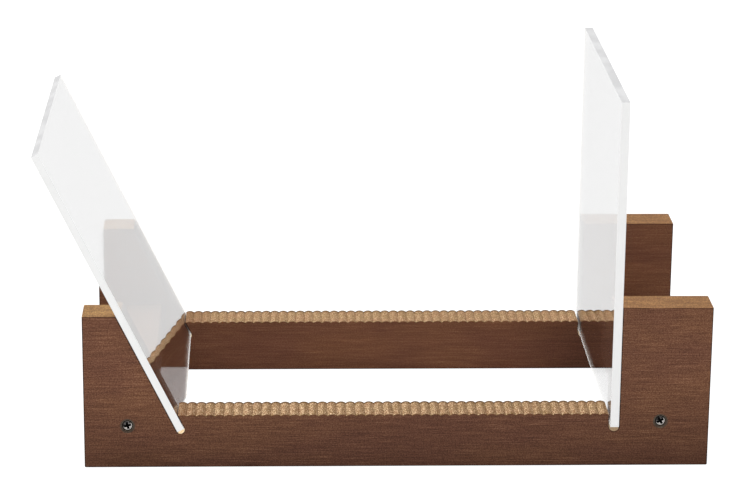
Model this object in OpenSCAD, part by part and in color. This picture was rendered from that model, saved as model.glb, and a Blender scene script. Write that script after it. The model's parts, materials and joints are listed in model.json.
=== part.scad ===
// Record storage stand. Two long wooden rails stand on edge, one behind the other, and a crossbar
// near each end ties them together. A slot at each end of the ridged tread holds a clear panel:
// the left panel leans outwards against its block, the right one stands upright.
// Frame: +Z up, +X to the right and +Y to the back as seen from the front. The origin is on the
// floor, under the middle of the whole stand. Lengths are in millimetres.

/* [Rails] */
// Length of each rail
rail_length = 410; // [380:1:450]
// Thickness of each rail, front to back
rail_thickness = 25; // [20:0.5:32]
// Depth of the whole stand over both rails
stand_depth = 214; // [180:1:250]
// Height of the left block of each rail
left_block_height = 104.5; // [80:0.5:125]
// Height of the right block of each rail
right_block_height = 109.5; // [80:0.5:130]
// Width of the right block, which backs the upright panel
right_block_width = 59; // [54:0.5:80]
// Chamfer that eases the outer edges of the rails and crossbars
edge_ease = 0.8; // [0.4:0.1:1.5]

/* [Ridged tread] */
// Height of the ridge crests, where the records stand
tread_height = 36.4; // [32:0.2:50]
// Distance aimed at from one ridge to the next
ridge_pitch = 6.1; // [4.5:0.05:8]
// Depth of the grooves between the ridges
groove_depth = 1.1; // [0.8:0.1:1.8]

/* [Panels] */
// Thickness of the leaning panel
lean_panel_thickness = 5; // [4:0.1:6]
// Height of the leaning panel, measured along its slope
lean_panel_height = 207.5; // [150:0.5:240]
// Lean of the left panel away from upright, in degrees
lean_angle = 26; // [15:0.5:30]
// Thickness of the upright panel
upright_panel_thickness = 5.8; // [4:0.1:8]
// Height of the upright panel
upright_panel_height = 220; // [150:0.5:260]
// How far the panel edges stand back from the faces of the rails
panel_setback = 0.2; // [0.1:0.1:2]

/* [Slots] */
// Centre of the leaning slot's round foot, from the left end of the rail
lean_foot_x = 63; // [60:0.5:90]
// Height of the centre of the leaning slot's round foot
lean_foot_height = 26.2; // [18:0.2:28]
// Height of the centre of the upright slot's round foot
upright_foot_height = 27.6; // [18:0.2:28]
// Room that the leaning slot leaves beside its panel
lean_slot_play = 0.5; // [0.4:0.1:1.5]
// Room that the upright slot leaves beside its panel
upright_slot_play = 1.1; // [0.4:0.1:2]

/* [Crossbars] */
// Width of each crossbar
bar_width = 25; // [20:0.5:30]
// Height of each crossbar
bar_height = 38; // [34:0.5:44]
// Middle of the left crossbar and its screws, from the left end of the rail
left_bar_inset = 28.5; // [22:0.5:32]
// Middle of the right crossbar and its screws, from the right end of the rail
right_bar_inset = 32; // [22:0.5:35]
// Height of the left screws
left_screw_height = 29; // [26:0.5:34]
// Height of the right screws
right_screw_height = 31; // [26:0.5:34]

/* [Screws] */
// Diameter of the countersunk screw head
screw_head_d = 7.8; // [7:0.1:8.6]
// Diameter of the screw shank
screw_shank_d = 4.5; // [3.5:0.1:5]
// Length of shank that bites into the crossbar
screw_bite = 26; // [18:1:40]
// Length of the pointed tip
screw_tip_length = 5; // [3:0.5:7]
// Diameter of the countersink where it opens on the rail face
sink_mouth_d = 9.8; // [9:0.1:12]
// Reach of the cross recess over the screw head
recess_span = 4.6; // [3.5:0.1:5.5]
// Width of each arm of the cross recess
recess_width = 0.95; // [0.7:0.05:1.2]
// Depth of the cross recess
recess_depth = 1.1; // [0.6:0.1:1.4]

/* [Dowels] */
// Diameter of the wooden dowels
dowel_d = 8; // [6:0.5:9]
// Length of dowel inside the rail
dowel_in_rail = 12; // [8:0.5:15]
// Length of dowel inside the crossbar
dowel_in_bar = 18; // [12:0.5:24]
// How far the dowel lies below the screw
dowel_drop = 10; // [9:0.5:11]
// Chamfer on the ends of a dowel
dowel_chamfer = 0.8; // [0.4:0.1:1.2]

/* [Fits] */
// Gap between a panel and the slot wall that it leans on
wall_gap = 0.15; // [0.1:0.01:0.2]
// Gap between a panel's lower corner and the round foot of its slot
foot_gap = 0.05; // [0.02:0.01:0.09]
// Radial room of a screw shank in the rail
shank_room = 0.25; // [0.1:0.05:0.5]
// Radial room of the thread's pilot hole and of a dowel's hole, and of the head in its countersink
snug_room = 0.06; // [0.02:0.01:0.1]
// Spare depth at the blind end of a drilled hole
blind_room = 1; // [0.5:0.1:2]

/* [Hidden] */
$fn = 64;

stain = [0.40, 0.27, 0.20];
bare_wood = [0.82, 0.68, 0.50];
clear_sheet = [0.93, 0.94, 0.95, 0.45];
dark_steel = [0.30, 0.27, 0.25];

// What a cutting shape reaches past the surface that it opens.
over = 2;

// Slots: half widths, and how far a panel's outer face lies from the middle of its slot.
lean_slot_r = (lean_panel_thickness + lean_slot_play) / 2;
upright_slot_r = (upright_panel_thickness + upright_slot_play) / 2;
lean_face = lean_slot_r - wall_gap;
upright_face = upright_slot_r - wall_gap;
upright_foot_x = rail_length - right_block_width - upright_slot_r;

// How far a panel's bottom edge drops below the centre of the round foot that carries it.
lean_drop = sqrt(pow(lean_slot_r - foot_gap, 2) - pow(lean_face, 2));
upright_drop = sqrt(pow(upright_slot_r - foot_gap, 2) - pow(upright_face, 2));

// Tread: from the leaning slot's inner wall at the crests to the upright slot's left wall.
tread_start = lean_foot_x - (tread_height - lean_foot_height) * tan(lean_angle) + lean_slot_r / cos(lean_angle);
tread_end = upright_foot_x - upright_slot_r;
ridge_count = floor((tread_end - tread_start) / ridge_pitch);
ridge_step = (tread_end - tread_start) / ridge_count;
// Circle through the crest and the two grooves beside it.
ridge_r = (pow(ridge_step / 2, 2) + pow(groove_depth, 2)) / (2 * groove_depth);
// The solid wood under the ridges stops a little below the grooves.
tread_base = tread_height - 1.3 * groove_depth;

// Whole stand: the leaning panel's top corner overhangs the left end of the rails.
lean_top_x = lean_foot_x - lean_face * cos(lean_angle)
    - (lean_panel_height - lean_drop) * sin(lean_angle);
stand_left = min(0, lean_top_x);
rail_left = -(rail_length + stand_left) / 2;

// Places of the crossbars and their fasteners, from the left end of the rail.
left_bar_x = left_bar_inset;
right_bar_x = rail_length - right_bar_inset;
bar_length = stand_depth - 2 * rail_thickness;

// Screws: the head seats where its 45 degree cone meets the countersink's.
screw_head_r = screw_head_d / 2;
screw_shank_r = screw_shank_d / 2;
head_cone = screw_head_r - screw_shank_r;
head_sink = sink_mouth_d / 2 - screw_head_r - snug_room;
screw_length = rail_thickness - head_sink + screw_bite;
tip_flat_r = 0.4;

// ---- placing ----

// Moves what is drawn from the rail's left end and the middle of the depth into the stand's frame.
module in_frame() {
    translate([rail_left, 0, 0]) children();
}

// Turns an outline in X and Z into a slab of the given thickness with its front face at y.
module slab(y, thickness) {
    translate([0, y + thickness, 0]) rotate([90, 0, 0]) linear_extrude(height = thickness) children();
}

// Lays what is drawn down the Z axis from the origin along +Y, from the front face of the stand.
module from_front() {
    translate([0, -stand_depth / 2, 0]) rotate([90, 0, 0]) children();
}

// Places a fastener, drawn down the Z axis, at one corner of the frame.
module at_corner(x, height, rear) {
    mirror([0, rear ? 1 : 0, 0]) translate([x, 0, height]) from_front() children();
}

// ---- rails ----

// Both blocks and the wood between them before the bay is cut, with eased corners.
module rail_blank_outline() {
    split = rail_length / 2;
    e = edge_ease;
    polygon([
        [e, 0], [rail_length - e, 0], [rail_length, e],
        [rail_length, right_block_height - e], [rail_length - e, right_block_height],
        [split, right_block_height], [split, left_block_height],
        [e, left_block_height], [0, left_block_height - e], [0, e],
    ]);
}

// The record bay above the tread, from the middle of one slot to the middle of the other.
module bay_outline() {
    top = max(left_block_height, right_block_height) + over;
    low_x = lean_foot_x - (tread_base - lean_foot_height) * tan(lean_angle);
    top_x = lean_foot_x - (top - lean_foot_height) * tan(lean_angle);
    polygon([
        [low_x, tread_base], [upright_foot_x, tread_base], [upright_foot_x, top], [top_x, top],
    ]);
}

// Rounded ridges side by side, which meet in the grooves.
module ridge_outline() {
    for (i = [0 : ridge_count - 1])
        translate([tread_start + (i + 0.5) * ridge_step, tread_height - ridge_r]) circle(r = ridge_r);
}

// A slot with a round foot centred on the origin, open at the top.
module slot_outline(r, length) {
    circle(r = r);
    translate([-r, 0]) square([2 * r, length]);
}

module lean_slot_outline() {
    length = (left_block_height - lean_foot_height + over) / cos(lean_angle) + 2 * lean_slot_r;
    translate([lean_foot_x, lean_foot_height]) rotate(lean_angle) slot_outline(lean_slot_r, length);
}

module upright_slot_outline() {
    length = max(left_block_height, right_block_height) - upright_foot_height + over;
    translate([upright_foot_x, upright_foot_height]) slot_outline(upright_slot_r, length);
}

module rail_outline() {
    difference() {
        union() {
            difference() {
                rail_blank_outline();
                bay_outline();
            }
            ridge_outline();
        }
        lean_slot_outline();
        upright_slot_outline();
    }
}

// A wedge along X that takes the corner off an edge at the given height and front or rear face.
module long_ease(x, length, height, face) {
    side = edge_ease * sqrt(2);
    translate([x, face, height]) rotate([45, 0, 0])
        translate([0, -side / 2, -side / 2]) cube([length, side, side]);
}

// A wedge up an end of the rail.
module end_ease(x, face, height) {
    side = edge_ease * sqrt(2);
    translate([x, face, -over]) rotate([0, 0, 45])
        translate([-side / 2, -side / 2, 0]) cube([side, side, height + 2 * over]);
}

// Hole for a screw through the rail, with its countersink, drawn from the outer face.
module screw_hole() {
    hole_r = screw_shank_r + shank_room;
    mouth_r = sink_mouth_d / 2;
    translate([0, 0, -rail_thickness - over]) cylinder(h = rail_thickness + 2 * over, r = hole_r);
    translate([0, 0, -mouth_r + hole_r / 2])
        cylinder(h = mouth_r - hole_r / 2 + over, r1 = hole_r / 2, r2 = mouth_r + over);
}

// Blind hole for a dowel in the inner face of the rail, drawn from the outer face.
module rail_dowel_hole() {
    depth = dowel_in_rail + blind_room;
    translate([0, 0, -rail_thickness - over])
        cylinder(h = depth + over, r = dowel_d / 2 + snug_room);
}

// The front rail; the rear one is its mirror image.
module rail() {
    outer = -stand_depth / 2;
    inner = outer + rail_thickness;
    color(stain) difference() {
        slab(outer, rail_thickness) rail_outline();
        for (face = [outer, inner]) {
            long_ease(-over, lean_foot_x, left_block_height, face);
            long_ease(upright_foot_x, rail_length, right_block_height, face);
            long_ease(-over, rail_length + 2 * over, 0, face);
            end_ease(0, face, left_block_height);
            end_ease(rail_length, face, right_block_height);
        }
        at_corner(left_bar_x, left_screw_height, false) screw_hole();
        at_corner(right_bar_x, right_screw_height, false) screw_hole();
        at_corner(left_bar_x, left_screw_height - dowel_drop, false) rail_dowel_hole();
        at_corner(right_bar_x, right_screw_height - dowel_drop, false) rail_dowel_hole();
    }
}

module front_rail() {
    in_frame() rail();
}

module rear_rail() {
    in_frame() mirror([0, 1, 0]) rail();
}

// ---- crossbars ----

// Pilot hole and dowel hole in one end of a crossbar, drawn from the front face of the stand.
module bar_end_holes(x, height, rear) {
    at_corner(x, height, rear) translate([0, 0, -rail_thickness - screw_bite - blind_room])
        cylinder(h = screw_bite + blind_room + over, r = screw_shank_r + snug_room);
    at_corner(x, height - dowel_drop, rear) translate([0, 0, -rail_thickness - dowel_in_bar - blind_room])
        cylinder(h = dowel_in_bar + blind_room + over, r = dowel_d / 2 + snug_room);
}

// A straight bar between the rails, centred on the screws at its ends, with eased long edges.
module crossbar(x, height) {
    e = edge_ease;
    w = bar_width / 2;
    h = bar_height / 2;
    color(stain) difference() {
        slab(-bar_length / 2, bar_length) translate([x, height]) polygon([
            [-w + e, -h], [w - e, -h], [w, -h + e], [w, h - e],
            [w - e, h], [-w + e, h], [-w, h - e], [-w, -h + e],
        ]);
        bar_end_holes(x, height, false);
        bar_end_holes(x, height, true);
    }
}

module left_crossbar() {
    in_frame() crossbar(left_bar_x, left_screw_height);
}

module right_crossbar() {
    in_frame() crossbar(right_bar_x, right_screw_height);
}

// ---- panels ----

// A plain sheet as deep as the stand, less its setback at the front and at the back.
module sheet(thickness, height) {
    depth = stand_depth - 2 * panel_setback;
    color(clear_sheet) translate([0, -depth / 2, 0]) cube([thickness, depth, height]);
}

module leaning_panel() {
    in_frame() translate([lean_foot_x, 0, lean_foot_height]) rotate([0, -lean_angle, 0])
        translate([-lean_face, 0, -lean_drop]) sheet(lean_panel_thickness, lean_panel_height);
}

module upright_panel() {
    in_frame() translate([upright_foot_x, 0, upright_foot_height])
        translate([upright_face - upright_panel_thickness, 0, -upright_drop])
            sheet(upright_panel_thickness, upright_panel_height);
}

// ---- fasteners ----

// A countersunk wood screw, its point down and the middle of its countersink mouth at the origin.
module wood_screw(recess_turn) {
    straight_end = screw_length - screw_tip_length;
    color(dark_steel) translate([0, 0, -head_sink]) difference() {
        rotate_extrude() polygon([
            [0, 0], [screw_head_r, 0], [screw_shank_r, -head_cone], [screw_shank_r, -straight_end],
            [tip_flat_r, -screw_length], [0, -screw_length],
        ]);
        for (turn = [0, 90])
            rotate(recess_turn + turn) translate([-recess_span / 2, -recess_width / 2, -recess_depth])
                cube([recess_span, recess_width, recess_depth + over]);
    }
}

// A straight dowel across the joint of a rail and a crossbar, with chamfered ends.
module dowel() {
    r = dowel_d / 2;
    c = dowel_chamfer;
    length = dowel_in_rail + dowel_in_bar;
    color(bare_wood) translate([0, 0, -rail_thickness + dowel_in_rail - length]) rotate_extrude() polygon([
        [0, 0], [r - c, 0], [r, c], [r, length - c], [r - c, length], [0, length],
    ]);
}

module front_left_screw() {
    in_frame() at_corner(left_bar_x, left_screw_height, false) wood_screw(15);
}

module front_right_screw() {
    in_frame() at_corner(right_bar_x, right_screw_height, false) wood_screw(30);
}

module rear_left_screw() {
    in_frame() at_corner(left_bar_x, left_screw_height, true) wood_screw(50);
}

module rear_right_screw() {
    in_frame() at_corner(right_bar_x, right_screw_height, true) wood_screw(5);
}

module front_left_dowel() {
    in_frame() at_corner(left_bar_x, left_screw_height - dowel_drop, false) dowel();
}

module front_right_dowel() {
    in_frame() at_corner(right_bar_x, right_screw_height - dowel_drop, false) dowel();
}

module rear_left_dowel() {
    in_frame() at_corner(left_bar_x, left_screw_height - dowel_drop, true) dowel();
}

module rear_right_dowel() {
    in_frame() at_corner(right_bar_x, right_screw_height - dowel_drop, true) dowel();
}

front_rail();
rear_rail();
left_crossbar();
right_crossbar();
leaning_panel();
upright_panel();
front_left_screw();
front_right_screw();
rear_left_screw();
rear_right_screw();
front_left_dowel();
front_right_dowel();
rear_left_dowel();
rear_right_dowel();
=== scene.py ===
"""Looks of the record storage stand: two stained rails with ridged treads, and two clear panels in slots.

Lengths are in metres, in the stand's frame: +Z up, +X to the right and +Y to the back, with the
origin on the floor under the middle of the stand.
"""

from __future__ import annotations

import json
import logging
import math
from dataclasses import dataclass
from enum import Enum
from typing import Any, ClassVar, Iterable, Sequence

import bmesh
import bpy
from mathutils import Matrix, Vector

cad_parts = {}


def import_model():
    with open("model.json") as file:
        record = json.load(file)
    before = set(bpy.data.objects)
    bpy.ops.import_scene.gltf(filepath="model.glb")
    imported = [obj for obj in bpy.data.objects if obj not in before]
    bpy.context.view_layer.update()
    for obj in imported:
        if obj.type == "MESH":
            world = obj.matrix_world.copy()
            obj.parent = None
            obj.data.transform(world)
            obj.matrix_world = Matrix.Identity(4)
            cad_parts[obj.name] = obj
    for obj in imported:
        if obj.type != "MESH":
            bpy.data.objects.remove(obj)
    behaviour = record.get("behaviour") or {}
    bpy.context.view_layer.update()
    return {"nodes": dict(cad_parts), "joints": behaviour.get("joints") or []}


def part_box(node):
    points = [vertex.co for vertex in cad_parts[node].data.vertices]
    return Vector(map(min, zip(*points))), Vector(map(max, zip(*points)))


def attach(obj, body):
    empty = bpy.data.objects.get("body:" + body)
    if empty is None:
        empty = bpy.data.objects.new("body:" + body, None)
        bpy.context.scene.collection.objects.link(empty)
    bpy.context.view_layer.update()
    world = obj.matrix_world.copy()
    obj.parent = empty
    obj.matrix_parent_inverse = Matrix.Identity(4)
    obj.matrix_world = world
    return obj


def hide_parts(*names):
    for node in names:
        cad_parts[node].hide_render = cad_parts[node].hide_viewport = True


LOG = logging.getLogger("record_stand")
MM = 0.001
# Two places that are closer than this are one.
HAIR = 0.01 * MM
# A screw's cross recess is turned this far, in degrees.
RECESS_TURNS = {"front_left": 15, "front_right": 30, "rear_left": 50, "rear_right": 5}
# How much room the slots leave beside the leaning and the upright panel.
LEAN_PLAY = 0.5 * MM
UPRIGHT_PLAY = 1.1 * MM
# How much gloss the woods have, where 0.5 is that of bare plastic.
WOOD_GLOSS = 0.1

Node = bpy.types.Node
Socket = bpy.types.NodeSocket
Outputs = bpy.types.NodeOutputs
Material = bpy.types.Material
Piece = bpy.types.Object
Shape = bmesh.types.BMesh
Colour = tuple[float, float, float, float]
# X, Y and Z. For noise, how many cells there are in a metre along each of them.
Triple = tuple[float, float, float]
# Where a mask is 0, and where it is 1.
Range = tuple[float, float]
# Depth of a relief, and its strength from 0 to 1.
Relief = tuple[float, float]


def linear(part: int) -> float:
    """Turns one part of a screen colour, from 0 to 255, into a linear value."""
    share = part / 255
    return share / 12.92 if share <= 0.04045 else ((share + 0.055) / 1.055) ** 2.4


def paint(red: int, green: int, blue: int) -> Colour:
    """Turns a screen colour, each part from 0 to 255, into a linear colour with an alpha of 1."""
    return linear(red), linear(green), linear(blue), 1.0


# ---- node trees ----


class NodeSheet:
    """Adds nodes to one node tree and links them.

    Attributes:
        tree: The tree.
        NOISE_ROUGHNESS: How strong the finer layers of noise are against the broader ones.
    """

    NOISE_ROUGHNESS: ClassVar[float] = 0.55

    def __init__(self, tree: bpy.types.NodeTree) -> None:
        """Keeps the tree that is drawn in."""
        self.tree = tree

    def fill(self, node: Node, inputs: dict[Any, Any]) -> None:
        """Links inputs of a node to other sockets, or sets their values.

        Args:
            node: The node.
            inputs: A value or a socket for each input, by the input's name or number.
        """
        for name, value in inputs.items():
            if isinstance(value, Socket):
                self.tree.links.new(value, node.inputs[name])
            else:
                node.inputs[name].default_value = value

    def add(self, kind: str, inputs: dict[Any, Any], **settings: Any) -> Node:
        """Adds one node.

        Args:
            kind: Blender's name for the node.
            inputs: A value or a socket for each input, by the input's name or number.
            **settings: The node's own settings.

        Returns:
            The new node.
        """
        node = self.tree.nodes.new(kind)
        for name, value in settings.items():
            setattr(node, name, value)
        self.fill(node, inputs)
        return node

    def math(self, operation: str, first: Any, second: Any = 0.0) -> Socket:
        """Adds a sum of one or two values and returns its result."""
        return self.add("ShaderNodeMath", {0: first, 1: second}, operation=operation).outputs[0]

    def product(self, first: Any, *others: Any) -> Socket:
        """Multiplies values.

        Args:
            first: The first value.
            *others: What it is multiplied by.

        Returns:
            The result.
        """
        for other in others:
            first = self.math("MULTIPLY", first, other)
        return first

    def rest(self, value: Any, share: float = 1.0) -> Socket:
        """Takes a share of a value away from 1 and returns what is left."""
        return self.math("SUBTRACT", 1.0, self.product(value, share))

    def vector(self, operation: str, first: Any, second: Any, result: int = 0) -> Socket:
        """Adds a sum of two vectors and returns its result: 0 for a vector, 1 for a value."""
        inputs = {0: first, 1: second}
        return self.add("ShaderNodeVectorMath", inputs, operation=operation).outputs[result]

    def blend(self, share: Any, first: Any, second: Any, how: str = "MIX") -> Socket:
        """Mixes two colours and returns the result."""
        inputs = {0: share, 6: first, 7: second}
        return self.add("ShaderNodeMix", inputs, data_type="RGBA", blend_type=how).outputs[2]

    def spread(self, value: Any, low: float, high: float) -> Socket:
        """Stretches the range from low to high to the range from 0 to 1."""
        inputs = {"Value": value, "From Min": low, "From Max": high}
        return self.add("ShaderNodeMapRange", inputs).outputs["Result"]

    def noise(self, place: Any, cells: Triple, detail: float) -> Socket:
        """Adds soft noise.

        Args:
            place: The place that it is taken at.
            cells: How many cells it has in a metre along each axis.
            detail: How many finer layers it has.

        Returns:
            Its value.
        """
        inputs = {"Vector": self.vector("MULTIPLY", place, cells), "Scale": 1.0}
        inputs |= {"Detail": detail, "Roughness": self.NOISE_ROUGHNESS}
        return self.add("ShaderNodeTexNoise", inputs).outputs["Fac"]

    def place(self) -> Socket:
        """Adds the place of a point in the stand's frame."""
        return self.add("ShaderNodeTexCoord", {}).outputs["Object"]

    def facing(self) -> Socket:
        """Adds the way that the surface faces at a point."""
        return self.add("ShaderNodeNewGeometry", {}).outputs["Normal"]

    def parts(self, vector: Any) -> Outputs:
        """Splits a vector and returns its outputs X, Y and Z."""
        return self.add("ShaderNodeSeparateXYZ", {0: vector}).outputs

    def group(self, tree: bpy.types.NodeTree, inputs: dict[Any, Any]) -> Outputs:
        """Adds a shader group and returns its outputs."""
        return self.add("ShaderNodeGroup", inputs, node_tree=tree).outputs

    def bump(self, shader: Node, height: Any, depth: float, strength: float) -> None:
        """Gives a shader's surface a relief of the given depth."""
        inputs = {"Strength": strength, "Distance": depth, "Height": height}
        self.fill(shader, {"Normal": self.add("ShaderNodeBump", inputs).outputs["Normal"]})


class SharedEffects:
    """The shader groups that more than one finish uses.

    Attributes:
        FIBRES: Cells of the finest lines of the grain, which runs along X.
        STREAKS: Cells of its longer lines.
        CLOUDS: Cells of its broad changes of tone.
        PITH: How far the grain is moved from the middle of its growth rings.
        RING_RATE: How fast the rings follow each other outwards, in radians a metre.
        RING_WANDER: How far the clouds push the rings out of round.
        LIGHT_CELLS: Cells of the light flecks on a rough cut.
        LIGHT: Values of their noise between which they show.
        DARK_CELLS: Cells of its dark flecks.
        DARK: Values of their noise between which they show.
        DARK_SHIFT: How far the dark flecks are moved, so that they don't fall on the light ones.
        PATCHES: Cells of its broad patches.
        EDGE: How well a face's rounded way agrees with its real one, off an edge and on it.
    """

    FIBRES: ClassVar[Triple] = (1150, 450, 1500)
    STREAKS: ClassVar[Triple] = (42, 420, 1250)
    CLOUDS: ClassVar[Triple] = (13, 34, 34)
    PITH: ClassVar[Triple] = (0.0, 0.075, 0.19)
    RING_RATE: ClassVar[float] = 1900.0
    RING_WANDER: ClassVar[float] = 0.016
    LIGHT_CELLS: ClassVar[Triple] = (1900, 800, 1700)
    LIGHT: ClassVar[Range] = (0.50, 0.59)
    DARK_CELLS: ClassVar[Triple] = (2000, 700, 1600)
    DARK: ClassVar[Range] = (0.52, 0.61)
    DARK_SHIFT: ClassVar[Triple] = (3.1, 1.7, 5.3)
    PATCHES: ClassVar[Triple] = (70, 90, 90)
    EDGE: ClassVar[Range] = (0.98, 0.72)

    def __init__(self) -> None:
        """Builds each group once."""
        self.grain = self._grain()
        self.fleck = self._fleck()
        self.edge = self._edge()

    @staticmethod
    def _start(name: str, inputs: Iterable[str], outputs: Iterable[str]) -> tuple[Outputs, Node, NodeSheet]:
        """Makes an empty group.

        Args:
            name: The group's name.
            inputs: Names of the inputs. The one named Vector is a vector, and the rest are values.
            outputs: Names of the outputs, all of them values.

        Returns:
            The outputs of the group's input node, its output node and a sheet to draw in.
        """
        tree = bpy.data.node_groups.new(name, "ShaderNodeTree")
        for socket in inputs:
            kind = "NodeSocketVector" if socket == "Vector" else "NodeSocketFloat"
            tree.interface.new_socket(socket, in_out="INPUT", socket_type=kind)
        for socket in outputs:
            tree.interface.new_socket(socket, in_out="OUTPUT", socket_type="NodeSocketFloat")
        sheet = NodeSheet(tree)
        return sheet.add("NodeGroupInput", {}).outputs, sheet.add("NodeGroupOutput", {}), sheet

    def _grain(self) -> bpy.types.NodeTree:
        """Draws straight wood grain along X.

        Returns:
            A group that gives its fibres, streaks, broad clouds and growth rings.
        """
        outputs = ("Fibre", "Streak", "Cloud", "Ring")
        given, result, sheet = self._start("wood_grain", ("Vector", "Fineness"), outputs)
        inputs = {0: given["Vector"], "Scale": given["Fineness"]}
        place = sheet.add("ShaderNodeVectorMath", inputs, operation="SCALE").outputs[0]
        cloud = sheet.noise(place, self.CLOUDS, 3)
        from_pith = sheet.parts(sheet.vector("ADD", place, self.PITH))
        across, height = (sheet.math("POWER", from_pith[axis], 2.0) for axis in ("Y", "Z"))
        radius = sheet.math("SQRT", sheet.math("ADD", across, height))
        bent = sheet.math("ADD", radius, sheet.product(cloud, self.RING_WANDER))
        wave = sheet.math("SINE", sheet.product(bent, self.RING_RATE))
        sheet.fill(result, {
            "Fibre": sheet.noise(place, self.FIBRES, 1),
            "Streak": sheet.noise(place, self.STREAKS, 2),
            "Cloud": cloud,
            "Ring": sheet.spread(wave, -1, 1),
        })
        return sheet.tree

    def _fleck(self) -> bpy.types.NodeTree:
        """Draws the marks of a rough cut.

        Returns:
            A group that gives light and dark flecks of torn fibre, and broad patches.
        """
        given, result, sheet = self._start("cut_fleck", ("Vector",), ("Light", "Dark", "Patch"))
        moved = sheet.vector("ADD", given["Vector"], self.DARK_SHIFT)
        sheet.fill(result, {
            "Light": sheet.spread(sheet.noise(given["Vector"], self.LIGHT_CELLS, 1), *self.LIGHT),
            "Dark": sheet.spread(sheet.noise(moved, self.DARK_CELLS, 1), *self.DARK),
            "Patch": sheet.noise(given["Vector"], self.PATCHES, 3),
        })
        return sheet.tree

    def _edge(self) -> bpy.types.NodeTree:
        """Draws a mask over sharp edges.

        Returns:
            A group that gives 1 along them and 0 on flat faces.
        """
        given, result, sheet = self._start("edge_band", ("Radius",), ("Edge",))
        rounded = sheet.add("ShaderNodeBevel", {"Radius": given["Radius"]}, samples=6).outputs["Normal"]
        match = sheet.vector("DOT_PRODUCT", rounded, sheet.facing(), 1)
        sheet.fill(result, {"Edge": sheet.spread(match, *self.EDGE)})
        return sheet.tree


# ---- finishes ----


class GrainWay(Enum):
    """The way that the grain runs in a piece, as a turn about Z that lays it along X."""

    ALONG_X = 0.0
    ALONG_Y = math.pi / 2


class Finish(Enum):
    """Every finish on the stand, by the name of its material."""

    RAIL_STAIN = "rail_stain"
    BAR_STAIN = "crossbar_stain"
    TREAD = "milled_tread"
    SLOT_WALL = "slot_wall"
    SLOT_FOOT = "slot_foot"
    SUNK_WOOD = "countersunk_wood"
    CLEAR_FACE = "clear_sheet_face"
    CLEAR_EDGE = "clear_sheet_edge"
    CLEAR_TOP = "clear_sheet_top"
    CLEAR_FOOT = "clear_sheet_foot"
    SCREW_STEEL = "dark_screw_steel"
    SCREW_RIM = "dark_screw_rim"
    SCREW_SHANK = "dark_screw_shank"
    RECESS = "screw_recess"
    DOWEL_WOOD = "dowel_beech"


@dataclass(frozen=True)
class Recipe:
    """How the material of one finish is made. Each kind of surface draws it in its own way.

    Attributes:
        finish: The finish that it is for.
    """

    finish: Finish

    def material(self, effects: SharedEffects) -> Material:
        """Builds the material.

        Args:
            effects: The shared shader groups.

        Returns:
            The material.
        """
        material = bpy.data.materials.new(self.finish.value)
        material.use_nodes = True
        shader = material.node_tree.nodes["Principled BSDF"]
        self.draw(NodeSheet(material.node_tree), shader, effects)
        return material

    def draw(self, sheet: NodeSheet, shader: Node, effects: SharedEffects) -> None:
        """Draws the surface.

        Args:
            sheet: The sheet to draw in.
            shader: The material's Principled shader.
            effects: The shared shader groups.
        """
        raise NotImplementedError


@dataclass(frozen=True)
class GrainMark:
    """One kind of mark in the grain.

    Attributes:
        output: The output of the grain group that it follows.
        reach: Values there at which the mark begins and is full.
        share: How strong it is when full, from 0 to 1.
        tone: What a full mark multiplies each part of the colour by.
    """

    output: str
    reach: Range
    share: float
    tone: Colour


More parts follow.
